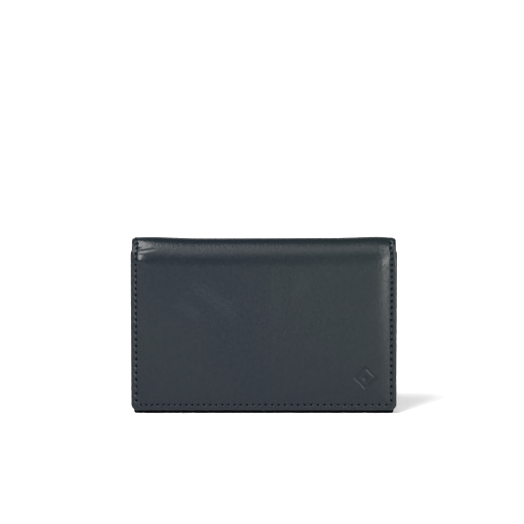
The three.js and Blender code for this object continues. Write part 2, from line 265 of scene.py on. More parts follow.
def mark(x, s):
    """1 where a plain mark is pressed in: a diamond outline with a small diamond in it."""
    reach = np.abs(x - MARK_CENTRE[0]) + np.abs(s - MARK_CENTRE[1])
    outline = smooth(np.abs(reach - MARK_REACH), 2 * MARK_LINE, MARK_LINE)
    core = smooth(reach, MARK_REACH * MARK_CORE[0], MARK_REACH * MARK_CORE[1])
    return np.maximum(outline, core)


def crown(s, inside):
    """The padded field, which is fullest in the upper half."""
    fullness = CROWN_AT_FOOT + (1 - CROWN_AT_FOOT) * smooth(s, 0, CROWN_FULL_AT)
    return CROWN * fullness * np.tanh(inside / CROWN_WIDTH)


def tuck(s, inside, to_right):
    """How far the leather is drawn in beside the fold's stitches."""
    along = smooth(s, CHANGE_START, TUCK_START) * smooth(s, FOLD_END, TUCK_END)
    return TUCK * (1 - TUCK_LESS * to_right) * np.exp(-inside / TUCK_WIDTH) * along


def sway(side, x, s, q):
    """The slight unevenness of a padded field, in one broad wave and one narrow one."""
    broad = BROAD_SWAY * np.sin(x / 17.0 + side) * np.cos(s / 23.0 + 0.4)
    narrow = NARROW_SWAY * np.sin(x / 7.3 - s / 9.1)
    return (broad + narrow) * smooth(q, STITCH_INSET + 1, STITCH_INSET + 12)


def leather_relief(side, x, s):
    """How far the outer face stands out from the nominal one."""
    q = edge_distance(side, x, s)
    inside = np.maximum(q - STITCH_INSET, 0)
    over_top = smooth(s, CHANGE_START, CHANGE_END)
    to_right = smooth(x, -HALF_MIDDLE, HALF_MIDDLE)
    total = (crown(s, inside) + sway(side, x, s, q)) * (1 - (FADE - CROWN_KEPT * to_right) * over_top)
    total -= MARGIN * (1 - (FADE - MARGIN_KEPT * to_right) * over_top)
    total -= VALLEY * bell(q - STITCH_INSET, VALLEY_WIDTH) + tuck(s, inside, to_right)
    total += wrinkles(side, x, s) + pinch(x, s)
    if side == FRONT:
        across = bell(x + HALF_WIDTH - BULGE_AT[0], BULGE_SIZE[0])
        total += BULGE * across * bell(s - PANEL_TOP + BULGE_AT[1], BULGE_SIZE[1])
    return total


# ---- meshes ----

BESIDE_HOLE = (-0.62, -0.4, -0.2, 0.2, 0.4, 0.62)  # places of mesh lines
BETWEEN_HOLES = (0.95, 1.3, 1.65)
ACROSS_STITCHES = (-1.0, -0.65, -0.36, -0.17, 0, 0.17, 0.36, 0.68, 1.0)  # outwards
CLOSEST = 0.15  # distance of two mesh lines of the outer leather
FOLD_MESH = 0.4  # distance of the lines over the fold, and of those across the mark
MARK_MESH = 0.25
MARK_FIELD = 5.0
TINY = 1e-6


def keep_apart(wanted, least, must=()):
    """The must lines, and each wanted line that isn't closer than least to one kept before it."""
    kept = list(must)
    for value in wanted:
        if all(abs(value - other) >= least for other in kept):
            kept.append(value)
    return np.array(sorted(kept))


def stitch_lines(holes):
    """Lines close beside each hole, and between it and the next one."""
    beside = [hole + step for hole in holes for step in BESIDE_HOLE]
    between = [hole + step for hole in holes for step in BETWEEN_HOLES]
    return beside + between


def new_object(name, data):
    item = bpy.data.objects.new(name, data)
    bpy.context.scene.collection.objects.link(item)
    return item


def write_mesh(name, points, faces, unrolled, cavity, sharp_degrees=50):
    """A mesh object from points in millimetres, with outward faces and smooth shading."""
    mesh = bpy.data.meshes.new(name)
    mesh.from_pydata((np.asarray(points) * MM).tolist(), [], faces)
    shape = bmesh.new()
    shape.from_mesh(mesh)
    bmesh.ops.recalc_face_normals(shape, faces=shape.faces)
    shape.to_mesh(mesh)
    shape.free()
    mesh.polygons.foreach_set("use_smooth", [True] * len(mesh.polygons))
    mesh.set_sharp_from_angle(angle=math.radians(sharp_degrees))
    grain = mesh.attributes.new("unrolled", "FLOAT_VECTOR", "POINT")
    grain.data.foreach_set("vector", (np.asarray(unrolled) * MM).astype(np.float32).ravel())
    # painted shade and highlight, and edge ink, which the materials read
    dark = mesh.attributes.new("cavity", "FLOAT", "POINT")
    dark.data.foreach_set("value", np.asarray(cavity, np.float32))
    return new_object(name, mesh)


def round_corners(x, s, edge_x, low, high, radius, round_top):
    """Moves the grid's corner squares onto quarter discs, so that its outline has round corners."""
    a = (np.abs(x) - (edge_x - radius)) / radius
    below = (low + radius - s) / radius
    above = (s - (high - radius)) / radius
    b = np.maximum(below, above) if round_top else below
    inside = (a > 0) & (b > 0)
    share = np.where(inside, np.maximum(a, b) / np.maximum(np.hypot(a, b), 1e-9), 1.0)
    new_x = np.where(inside, np.sign(x) * (edge_x - radius + a * share * radius), x)
    shift = np.where(inside, b * (1 - share) * radius, 0.0)
    new_s = np.where(inside & (below > 0), s + shift, s)
    if round_top:
        new_s = np.where(inside & (above > 0), s - shift, new_s)
    direction = np.stack([np.sign(x) * a, np.where(above > 0, b, -b)], axis=-1)
    return new_x, new_s, inside, direction / np.maximum(np.hypot(a, b), 1e-9)[..., None]


def rim_loop(wide, tall, closed):
    """Grid places round the rim, from the top left down, to the right and up, and their normals."""
    last_x, last_s = wide - 1, tall - 1
    loop = [(0, j, -1, 0) for j in range(last_s, 0, -1)] + [(0, 0, -1, -1)]
    loop += [(i, 0, 0, -1) for i in range(1, last_x)] + [(last_x, 0, 1, -1)]
    loop += [(last_x, j, 1, 0) for j in range(1, last_s + 1)]
    if closed:
        loop += [(i, last_s, 0, 1) for i in range(last_x - 1, 0, -1)]
        loop[0] = (0, last_s, -1, 1)
        loop[last_x + 2 * last_s] = (last_x, last_s, 1, 1)
    return loop


def rim_normals(loop, index, rounded, outward):
    """Unit vectors out of the rim, in (x, s). They turn with its round corners."""
    normal = unit(np.array([(nx, ns) for _, _, nx, ns in loop], float))
    in_corner = rounded.ravel()[index]
    normal[in_corner] = outward.reshape(-1, 2)[index][in_corner]
    return normal


def grid_faces(wide, tall):
    """Faces of the visible side, whose points are numbered column by column."""
    return [
        (i * tall + j, (i + 1) * tall + j, (i + 1) * tall + j + 1, i * tall + j + 1)
        for i in range(wide - 1)
        for j in range(tall - 1)
    ]


def rim_faces(rings, closed):
    """Faces between each ring of points round the edge and the next one."""
    count = len(rings[0])
    return [
        (before[(k + 1) % count], before[k], ring[k], ring[(k + 1) % count])
        for before, ring in zip(rings, rings[1:])
        for k in range(count if closed else count - 1)
    ]


def kept_lines(rows, wide, coarse, closed):
    """The columns and rows that the hidden side keeps. An open shell keeps all over the fold."""
    tall = len(rows)
    columns = set(range(0, wide, coarse)) | {wide - 1}
    lines = set(range(0, tall, coarse)) | {tall - 1}
    if not closed:
        lines |= {j for j in range(tall) if rows[j] > PANEL_TOP - 1}
    return sorted(columns), sorted(lines)


def hidden_faces(loop, ring, number, keep_i, keep_j, closed):
    """Faces of the hidden side's coarse grid, and those that join it to the last ring."""
    faces = []
    for i, next_i in zip(keep_i, keep_i[1:]):
        for j, next_j in zip(keep_j, keep_j[1:]):
            corners = ((i, j), (i, next_j), (next_i, next_j), (next_i, j))
            faces.append(tuple(number[corner] for corner in corners))
    marks = [k for k, (i, j, _, _) in enumerate(loop) if (i, j) in number]
    if closed:
        marks.append(marks[0] + len(loop))
    for a, b in zip(marks, marks[1:]):
        run = [ring[k % len(loop)] for k in range(a, b + 1)]
        end, start = loop[b % len(loop)][:2], loop[a][:2]
        faces.append(tuple(run + [number[end], number[start]]))
    return faces


def open_end_faces(rings, number, keep_i, wide, tall):
    """Faces that shut an open shell: its two sides' ends and its last row."""
    top = tall - 1
    left = [ring[0] for ring in rings] + [number[(0, top)]]
    right = [ring[-1] for ring in rings] + [number[(wide - 1, top)]]
    faces = [tuple(left), tuple(reversed(right))]
    for i, next_i in zip(keep_i, keep_i[1:]):
        run = [k * tall + top for k in range(i, next_i + 1)]
        faces.append(tuple(run + [number[(next_i, top)], number[(i, top)]]))
    return faces


def shell(name, columns, rows, place, relief, rim, floor, corner, closed, coarse=6):
    """A closed leather or lining piece.

    Its face is a grid of columns in x and rows in s. rim lists (outset, share of the thickness)
    round the edge, floor is the (outset, depth) of the hidden side, and place(x, s, depth) puts a
    point in space. place.thickness(s) is the piece's thickness. An open shell ends flat at its
    last row. The hidden side has fewer lines.
    """
    wide, tall = len(columns), len(rows)
    grid_x, grid_s = np.meshgrid(columns, rows, indexing="ij")
    edge_x, low, high = columns[-1], rows[0], rows[-1]
    grid_x, grid_s, rounded, outward = round_corners(grid_x, grid_s, edge_x, low, high, corner, closed)
    x, s = grid_x.ravel(), grid_s.ravel()
    height, painted_shading_and_ink = relief(x, s)
    points = [place(x, s, -height)]
    unrolled = [np.stack([x, s, np.zeros_like(x)], axis=-1)]

    loop = rim_loop(wide, tall, closed)
    index = np.array([i * tall + j for i, j, _, _ in loop])
    normal = rim_normals(loop, index, rounded, outward)
    rings = [index.tolist()]
    count = len(x)
    for outset, share in rim:
        ring_x, ring_s = x[index] + normal[:, 0] * outset, s[index] + normal[:, 1] * outset
        depth = share * place.thickness(ring_s)
        points.append(place(ring_x, ring_s, depth))
        unrolled.append(np.stack([ring_x, ring_s, depth], axis=-1))
        rings.append(list(range(count, count + len(loop))))
        count += len(loop)

    inner_x, inner_s = grid_x.copy(), grid_s.copy()
    for (i, j, _, _), (shift_x, shift_s) in zip(loop, normal * floor[0]):
        inner_x[i, j] += shift_x
        inner_s[i, j] += shift_s
    keep_i, keep_j = kept_lines(rows, wide, coarse, closed)
    kept = np.ix_(keep_i, keep_j)
    hidden_x, hidden_s = inner_x[kept].ravel(), inner_s[kept].ravel()
    points.append(place(hidden_x, hidden_s, floor[1](hidden_x, hidden_s)))
    unrolled.append(np.stack([hidden_x, hidden_s, np.ones_like(hidden_x)], axis=-1))
    pairs = [(i, j) for i in keep_i for j in keep_j]
    number = {pair: count + n for n, pair in enumerate(pairs)}

    faces = grid_faces(wide, tall) + rim_faces(rings, closed)
    faces += hidden_faces(loop, rings[-1], number, keep_i, keep_j, closed)
    if not closed:
        faces += open_end_faces(rings, number, keep_i, wide, tall)
    cavity = np.zeros(count + len(hidden_x))
    cavity[: len(x)] = painted_shading_and_ink
    cavity[len(x) : count] = np.tile(painted_shading_and_ink[index], len(rim))
    return write_mesh(name, np.concatenate(points), faces, np.concatenate(unrolled), cavity)


def edge_rim(outset, top=0.0, steps=10, squareness=0.6):
    """The rounding of a turned edge, from the face (share top) to the hidden side (share 1)."""
    rim = []
    for k in range(1, steps + 1):
        angle = math.pi * k / steps
        c = math.cos(angle)
        share = 0.5 * (1 - math.copysign(abs(c) ** squareness, c))
        rim.append((outset * max(math.sin(angle), 0.0) ** squareness, top + (1 - top) * share))
    return rim


# ---- stitch holes ----


def run_of_holes(start, end, count):
    """Needle holes whose pitch grows a little from start to end."""
    t = np.linspace(0, 1, count)
    return start + (end - start) * (t * (1 - UNEVEN) + UNEVEN * t**2)


def side_holes(side):
    """Stations of the needle holes up one side. The last one is half a stitch short of the seam."""
    start = BOTTOM[side] + STITCH_INSET + STITCH_CORNER
    end = SEAM - PITCH * (1 - UNEVEN) / 2
    return run_of_holes(end, start, round((end - start) / PITCH) + 1)[::-1]


def lower_holes():
    reach = HALF_WIDTH - STITCH_INSET - STITCH_CORNER
    return run_of_holes(-reach, reach, round(2 * reach / PITCH) + 1)


def hole_places(side):
    """Every hole on one outer panel, as (x, s), from the top left round to the top right."""
    across, line = HALF_WIDTH - STITCH_INSET, BOTTOM[side] + STITCH_INSET
    up = side_holes(side)
    left = [(-across, s) for s in up[::-1]]
    lower = [(x, line) for x in lower_holes()]
    return np.array(left + lower + [(-x, s) for x, s in left[::-1]])


def pits(x, s, holes):
    """1 in the needle holes, 0 away from them. Each hole is longer along its row."""
    nearest = np.full(len(x), np.inf)
    for (hole_x, hole_s), (run_x, run_s) in zip(holes, unit(np.gradient(holes, axis=0))):
        along = (x - hole_x) * run_x + (s - hole_s) * run_s
        aside = (x - hole_x) * run_s - (s - hole_s) * run_x
        nearest = np.minimum(nearest, np.hypot(along / PIT_LENGTH, aside / PIT_WIDTH))
    return np.exp(-(nearest**4))


# ---- outer leather, lining and foam ----

GROOVE_SHADE = 0.12  # shares of the near-black colour: painted shade along the stitch groove, and a darker pressed mark
MARK_DARK = 0.45
WRINKLE_HIGHLIGHT = 6.0  # painted highlight, lighter for each millimetre of a wrinkle
LINING_INSET = 1.5  # from the outline
LINING_GAP = 0.12  # under the leather, where that is drawn in
LINING_WAVE = 0.05
FOAM_INSET = 2.4  # from the stitches
FOAM_GAP = 0.06
FOAM_LEAST = 0.12  # thickness
FOAM_ROUND = 0.12
BOARD_GAP = 0.05


def mark_lines(side, centre):
    """Close mesh lines across the mark, which only the front has."""
    if side == REAR:
        return []
    return list(np.arange(centre - MARK_FIELD, centre + MARK_FIELD + MARK_MESH / 2, MARK_MESH))


def outer_grid(side):
    """Mesh lines of the outer leather, close beside the stitches, over the fold and at the mark."""
    across = HALF_WIDTH - STITCH_INSET
    must = [sign * (across + step) for step in ACROSS_STITCHES for sign in (1, -1)]
    wanted = mark_lines(side, MARK_CENTRE[0]) + stitch_lines(lower_holes())
    columns = keep_apart(wanted, CLOSEST, must + list(lower_holes()))
    columns = columns[np.abs(columns) <= HALF_WIDTH - EDGE + TINY]
    line = BOTTOM[side] + STITCH_INSET
    must = [line - step for step in ACROSS_STITCHES] + [SEAM] + list(side_holes(side))
    fold = list(np.arange(FOLD_START + 1, FOLD_END + 0.5, FOLD_MESH))
    wanted = mark_lines(side, MARK_CENTRE[1]) + fold + stitch_lines(side_holes(side))
    rows = keep_apart(wanted, CLOSEST, must)
    rows = rows[(rows >= BOTTOM[side] + EDGE - TINY) & (rows <= SEAM + TINY)]
    return columns, rows


def outer_leather(side, name):
    columns, rows = outer_grid(side)
    holes = hole_places(side)

    def place(x, s, depth):
        return leather_point(side, x, s, depth)

    place.thickness = panel_thickness

    def relief(x, s):
        hole = pits(x, s, holes)
        pressed = mark(x, s) if side == FRONT else np.zeros_like(x)
        height = leather_relief(side, x, s) - PIT * hole - MARK_DEPTH * pressed
        groove = bell(edge_distance(side, x, s) - STITCH_INSET, GROOVE_WIDTH)
        # painted shade: near black in the needle holes and along the stitch groove, and darker in the
        # pressed mark; the wrinkles get a painted highlight as negative values
        dark = np.maximum(hole, np.maximum(GROOVE_SHADE * groove, MARK_DARK * pressed))
        return height, dark - WRINKLE_HIGHLIGHT * np.abs(wrinkles(side, x, s))

    def floor(x, s):
        return LEATHER - leather_relief(side, x, s)

    rim = edge_rim(EDGE, MARGIN / PANEL_DEPTH)
    return shell(name, columns, rows, place, relief, rim, (-0.1, floor), CORNER - EDGE, False)


def lining_sheet(side, name):
    """One half of the lining, which keeps clear of the leather where that is drawn in."""
    edge = HALF_WIDTH - LINING_INSET
    columns = np.linspace(-edge, edge, 60)
    low = BOTTOM[side] + LINING_INSET
    panel = np.linspace(low, PANEL_TOP - 1, 34)
    fold = np.linspace(PANEL_TOP - 1, SEAM, 40)[1:]
    rows = np.concatenate([panel, fold])

    def place(x, s, depth):
        under_leather = LEATHER + LINING_GAP - leather_relief(side, x, s)
        at = np.maximum(lining_depth(s), under_leather * smooth(s, PANEL_TOP - 1, PANEL_TOP + 1))
        return leather_point(side, x, s, at + LINING - depth)

    place.thickness = always(LINING)

    def relief(x, s):
        soft = LINING_WAVE * np.sin(x / 6.1 + 0.7) * np.sin(s / 8.3 + side)
        q = np.minimum(edge - np.abs(x), s - low)
        return soft * smooth(q, 1, 6) * smooth(s, PANEL_TOP + 4, PANEL_TOP - 4), np.zeros_like(x)

    rim = [(0.04, 0.12), (0.08, 0.4), (0.08, 0.75), (0.0, 1.0)]
    floor = (-0.4, always(LINING))
    return shell(name, columns, rows, place, relief, rim, floor, 0.4, False, coarse=2)


def foam_pad(side, name):
    """The foam between the board and the leather, thick in the middle and thin at its edges."""
    inset = STITCH_INSET + FOAM_INSET
    columns = np.linspace(inset - HALF_WIDTH, HALF_WIDTH - inset, 56)
    rows = np.linspace(BOTTOM[side] + inset, PANEL_TOP - 0.3, 36)
    board = HALF_DEPTH - box_mm("back_board")[1][1]

    def place(x, s, share):
        outer = LEATHER + FOAM_GAP - leather_relief(side, x, s)
        inner = np.maximum(board - BOARD_GAP, outer + FOAM_LEAST)
        return leather_point(side, x, s, outer + (inner - outer) * share)

    place.thickness = always(1.0)
    rim = [(FOAM_ROUND, 0.25), (FOAM_ROUND, 0.75), (0.0, 1.0)]
    floor = (-0.3, always(1.0))

    def relief(x, s):
        return np.zeros_like(x), np.zeros_like(x)

    return shell(name, columns, rows, place, relief, rim, floor, 1.5, True, coarse=2)


# ---- flat panels inside ----

GROOVE = 0.13  # depth of their stitch grooves
GROOVE_END = 0.6  # how far a groove fades out past its last stitch
INK_AND_SHADE = 0.9  # share of the near-black colour on their edges: edge ink, with painted shade on the band along them
INK_SHADE_WIDTH = 1.7
UNEVENNESS = 0.03
SLIP_EDGE = 0.35  # roundings of the turned edges
WALL_EDGE = 0.9
CLOTH_EDGE = 0.15
LEG_TOP = 60.0  # above all slip pockets
BESIDE_GROOVE = (-0.35, 0, 0.35)  # places of mesh lines
FLAT_MESH = 0.9
FLAT_CLOSEST = 0.3


def flat_place(face_y, inward, thickness):
    """place() for a flat panel whose visible face lies at face_y. inward is 1 or -1 along Y."""

    def place(x, s, depth):
        x, s, depth = np.broadcast_arrays(x, s, depth)
        return np.stack([x, face_y + inward * depth, s], axis=-1)

    place.thickness = always(thickness)
    return place


def flat_panel(name, node, face, edge, corner=1.0, stitch_x=None, stitch_s=(), leg=(0, 0)):
    """A flat leather panel in place of a CAD node. face is FRONT or REAR, the side that shows.

    stitch_x is where its stitch lines run up its two sides, from leg[0] to leg[1], and stitch_s
    lists the heights of those that run across it. Its edges are inked dark, and the dark band along
    them is also painted shade.
    """
    low, high = box_mm(node)
    half_width, thickness = high[0], high[1] - low[1]
    face_y = low[1] if face == FRONT else high[1]
    across = np.linspace(-half_width + edge, half_width - edge, 120)
    lines = max(12, int((high[2] - low[2]) / FLAT_MESH))
    up = np.linspace(low[2] + edge, high[2] - edge, lines)
    must_x, must_s = [across[0], across[-1]], [up[0], up[-1]]
    if stitch_x is not None:
        must_x += [sign * (stitch_x + step) for sign in (-1, 1) for step in BESIDE_GROOVE]
    must_s += [line + step for line in stitch_s for step in BESIDE_GROOVE]
    columns, rows = keep_apart(across, FLAT_CLOSEST, must_x), keep_apart(up, FLAT_CLOSEST, must_s)

    def relief(x, s):
        q = np.minimum(half_width - np.abs(x), np.minimum(s - low[2], high[2] - s))
        total = -UNEVENNESS * np.sin(x / 9.0) * np.sin(s / 7.0) * smooth(q, 2, 8)
        if stitch_x is not None:
            within = smooth(s, leg[0] - GROOVE_END, leg[0]) * smooth(s, leg[1] + GROOVE_END, leg[1])
            total -= GROOVE * bell(np.abs(x) - stitch_x, GROOVE_WIDTH) * within
        for line in stitch_s:
            within = smooth(np.abs(x), stitch_x + GROOVE_END, stitch_x)
            total -= GROOVE * bell(s - line, GROOVE_WIDTH) * within
        # near-black band along the edges: edge ink and painted shade
        return total, INK_AND_SHADE * smooth(q, INK_SHADE_WIDTH, INK_SHADE_WIDTH * 0.6)

    place = flat_place(face_y, -face, thickness)
    floor = (-0.5, always(thickness))
    rim = edge_rim(edge, steps=8)
    return shell(name, columns, rows, place, relief, rim, floor, corner, True, coarse=4)


# ---- gussets and base ----

GUSSET = 0.5  # thickness
GUSSET_GAP = 0.08  # to the back and to the wall
GUSSET_LEFT = 0.55  # of its node's width, which the fold doesn't reach
GUSSET_PUFF = 0.125
GUSSET_DROOP = 0.6  # of its fold at the top
BASE_EDGE = 0.35
BASE_RISE = 0.08
BASE_SUNK = 0.05


def gusset_section(node, side):
    """The gusset's closed outline, seen from above as (distance from the middle of the case, y)."""
    low, high = box_mm(node)
    outer, inner = (high[0], low[0]) if side > 0 else (-low[0], -high[0])
    middle = (low[1] + high[1]) / 2
    half = (high[1] - low[1]) / 2 - GUSSET / 2 - GUSSET_GAP
    across = np.linspace(-1, 1, 33)
    inset = (outer - inner - GUSSET_LEFT) * (1 - np.abs(across) ** 1.15) ** 0.9
    line = np.stack([outer - inset, middle + half * across], axis=-1)
    run = np.gradient(line, axis=0)
    normal = unit(np.stack([run[:, 1], -run[:, 0]], axis=-1))
    return np.concatenate([line + normal * GUSSET / 2, (line - normal * GUSSET / 2)[::-1]]), middle


def tube_faces(rings, count):
    """Faces round a stack of rings, each of count points."""
    return [
        (k * count + n, k * count + m, (k + 1) * count + m, (k + 1) * count + n)
        for k in range(rings - 1)
        for n, m in zip(range(count), [*range(1, count), 0])
    ]


def gusset_strip(name, node, side):
    """A soft folded strip between the pocket's wall and the back. side is -1 left or 1 right."""
    low, high = box_mm(node)
    section, middle = gusset_section(node, side)
    count = len(section)
    heights = np.linspace(low[2], high[2], 25)
    points, unrolled = [], []
    for share, z in zip(np.linspace(0, 1, len(heights)), heights):
        puff = GUSSET_PUFF * math.sin(share * 9.0) * bell(section[:, 1] - middle, 1.6)
        droop = GUSSET_DROOP * share**6 * bell(section[:, 1] - middle, 1.2)
        level = np.full(count, z)
        points.append(np.stack([side * (section[:, 0] + puff), section[:, 1], level - droop], axis=-1))
        unrolled.append(np.stack([np.arange(count) * 0.5, level, np.zeros(count)], axis=-1))
    faces = tube_faces(len(heights), count)
    for base, is_top in ((0, False), ((len(heights) - 1) * count, True)):
        for n in range(count // 2 - 1):
            corners = (base + n, base + n + 1, base + count - 2 - n, base + count - 1 - n)
            faces.append(corners if is_top else corners[::-1])
    points, unrolled = np.concatenate(points), np.concatenate(unrolled)
    return write_mesh(name, points, faces, unrolled, np.zeros(len(points)), 60)


def base_strip(name, node):
    """The strip under the cards, slightly raised in its middle."""
    low, high = box_mm(node)
    columns = np.linspace(low[0] + BASE_EDGE, high[0] - BASE_EDGE, 90)
    rows = np.linspace(low[1] + BASE_EDGE, high[1] - BASE_EDGE, 14)

    def place(x, s, depth):
        x, s, depth = np.broadcast_arrays(x, s, depth)
        return np.stack([x, s, high[2] - depth], axis=-1)

    thickness = high[2] - low[2]
    place.thickness = always(thickness)

    def relief(x, s):
        rise = BASE_RISE * np.sin(math.pi * (s - low[1]) / (high[1] - low[1]))
        return rise - BASE_SUNK, np.zeros_like(x)

    floor = (-0.3, always(thickness))
    rim = edge_rim(BASE_EDGE, steps=6)
    return shell(name, columns, rows, place, relief, rim, floor, 0.3, True, coarse=3)


# ---- thread ----

THREAD = 0.17  # radius
THREAD_TAPER = 0.35  # towards both ends of a stitch
THREAD_SIDES = 12
PLIES = 3
PLY = 0.12  # share of the radius that the plies stand out
PLY_TURN = 4.2  # radians along one stitch
SLANT = 0.12  # of a stitch's ends, to each side of its row
LIFT = 0.08  # of a stitch's middle over the groove that it lies in
DIVE = 1.0  # how far its ends go down into the holes
CAD_THREAD = 0.6  # width of the CAD's strips of thread


def stitch(place, start, end):
    """One stitch from hole to hole: a plied thread that dives into both holes."""
    t = np.array([0, 0.08, 0.13, 0.18, 0.24, 0.37, 0.5, 0.63, 0.76, 0.82, 0.87, 0.92, 1])
    run = np.array(end, float) - np.array(start, float)
    aside = np.array([-run[1], run[0]]) / np.linalg.norm(run)
    line = np.array(start) + t[:, None] * run + ((0.5 - t) * 2 * SLANT)[:, None] * aside
    out = smooth(t, 0.08, 0.24) * smooth(t, 0.92, 0.76)
    depth = DIVE - (LIFT + DIVE) * out
    centre = place(line[:, 0], line[:, 1], depth)
    up = unit(place(line[:, 0], line[:, 1], depth - 0.05) - centre)
    along = unit(np.gradient(centre, axis=0))
    across = unit(np.cross(along, up))
    up = np.cross(across, along)
    angle = np.linspace(0, 2 * math.pi, THREAD_SIDES, endpoint=False)
    lobes = 1 + PLY * np.cos(PLIES * (angle[None, :] + t[:, None] * PLY_TURN))
    radius = THREAD * (1 - THREAD_TAPER * np.abs(2 * t - 1) ** 4)
    size = (radius[:, None] * lobes)[:, :, None]
    ring = np.cos(angle)[:, None] * across[:, None, :] + np.sin(angle)[:, None] * up[:, None, :]
    points = (centre[:, None, :] + size * ring).reshape(-1, 3)
    ends = [tuple(range(THREAD_SIDES))[::-1], tuple(range(len(points) - THREAD_SIDES, len(points)))]
    faces = ends + tube_faces(len(t), THREAD_SIDES)
    # painted shade on the thread's ends, which go down into the holes
    return points, faces, np.repeat(1 - out, THREAD_SIDES)


def thread_run(name, place, holes):
    """Stitches along a row of holes, as one piece of separate stitches."""
    points, faces, cavity, count = [], [], [], 0
    for start, end in zip(holes, holes[1:]):
        stitch_points, stitch_faces, hidden = stitch(place, start, end)
        points.append(stitch_points)
        cavity.append(hidden)
        faces += [tuple(v + count for v in face) for face in stitch_faces]
        count += len(stitch_points)
    points = np.concatenate(points)
    return write_mesh(name, points, faces, points, np.concatenate(cavity), 70)


def outer_thread(side, name):
    """The stitches of one outer panel. The front ones cross the seam of the spine."""
    holes = hole_places(side)
    if side == FRONT:
        reach = SEAM + (SEAM - holes[0][1])
        holes = np.array([(holes[0][0], reach), *holes, (holes[-1][0], reach)])

    def place(x, s, depth):
        return leather_point(side, x, s, depth - leather_relief(side, x, s))

    return thread_run(name, place, holes)


def u_holes(stitch_x, line, leg_end):
    """Holes round a U on a flat panel: down the left leg, along line, and up the right leg."""
    heights = np.linspace(line, leg_end, round(abs(leg_end - line) / PITCH) + 1)
    across = np.linspace(-stitch_x, stitch_x, round(2 * stitch_x / PITCH) + 1)
    left = [(-stitch_x, s) for s in heights[:0:-1]]
    return left + [(x, line) for x in across] + [(-x, s) for x, s in left[::-1]]


def flat_thread(name, node, face, hanging=False):
    """Stitches on a flat panel, along the U that a CAD thread node takes. A hanging U opens down."""
    low, high = box_mm(node)
    half = CAD_THREAD / 2
    face_y = low[1] if face == FRONT else high[1]
    line, end = (high[2] - half, low[2]) if hanging else (low[2] + half, high[2])
    place = flat_place(face_y - face * GROOVE, -face, 1.0)
    return thread_run(name, place, u_holes(high[0] - half, line, end))


# ---- materials ----


def fill(node, values):
    """Sets a node's sockets, by name or number, to constants or to other nodes' outputs."""
    for key, value in values.items():
        if isinstance(value, bpy.types.NodeSocket):
            node.id_data.links.new(value, node.inputs[key])
        else:
            node.inputs[key].default_value = value
    return node


def node_adder(tree):
    """A function that adds a node to the tree, with its settings and its named inputs."""

    def add(kind, settings=None, **inputs):
        node = tree.nodes.new(kind)
        for key, value in (settings or {}).items():
            setattr(node, key, value)
        return fill(node, {key.replace("_", " "): value for key, value in inputs.items()})

    return add


def new_material(name):
    """A material, its Principled shader and the function that adds its nodes."""
    material = bpy.data.materials.new(name)
    material.use_nodes = True
    shader = material.node_tree.nodes["Principled BSDF"]
    return material, shader, node_adder(material.node_tree)


def attribute(add, name, output):
    return add("ShaderNodeAttribute", {"attribute_name": name}).outputs[output]


def noise(add, place, scale, detail=2.0):
    node = add("ShaderNodeTexNoise", None, Vector=place, Scale=scale, Detail=detail)
    return node.outputs["Fac"]


def bump(add, height, strength, distance, **inputs):
    inputs.update(Height=height, Strength=strength, Distance=distance)
    return add("ShaderNodeBump", None, **inputs).outputs["Normal"]


def remap(add, value, low, high, to_low, to_high, kind="LINEAR"):
    ends = {"From_Min": low, "From_Max": high, "To_Min": to_low, "To_Max": to_high}
    node = add("ShaderNodeMapRange", {"interpolation_type": kind}, Value=value, **ends)
    return node.outputs["Result"]


def maths(add, operation, *values):
    node = add("ShaderNodeMath", {"operation": operation})
    return fill(node, dict(enumerate(values))).outputs[0]


def mixed(add, factor, low, high):
    """A colour between low and high."""
    node = add("ShaderNodeMix", {"data_type": "RGBA"})
    return fill(node, {0: factor, 6: low, 7: high}).outputs[2]


def blended(add, factor, low, high):
    """A number between low and high."""
    node = add("ShaderNodeMix", {"data_type": "FLOAT"})
    return fill(node, {0: factor, 2: low, 3: high}).outputs[0]


# the dye's random tone goes between these two; a painted tint of the light also turns it greener to
# the right
LEATHER_BLUE = (0.0037, 0.0064, 0.0102, 1)
LEATHER_GREEN = (0.0052, 0.0086, 0.0098, 1)
LEATHER_WORN = (0.0085, 0.0120, 0.0150, 1)
# painted highlight along the wrinkles
LEATHER_WRINKLE_HIGHLIGHT = (0.0240, 0.0300, 0.0350, 1)
# near black: painted shade in the needle holes and grooves, and edge ink
LEATHER_SHADE_AND_INK = (0.001, 0.0015, 0.003, 1)
LIGHT_TINT_REACH = 0.05  # metres from the middle, over which the painted tint of the light turns from blue to green
LIGHT_TINT_DRIFT = 0.12
BEND = (0.054, 0.066)  # stations in metres, between which the grain breaks up
BEND_GRAIN = 0.45


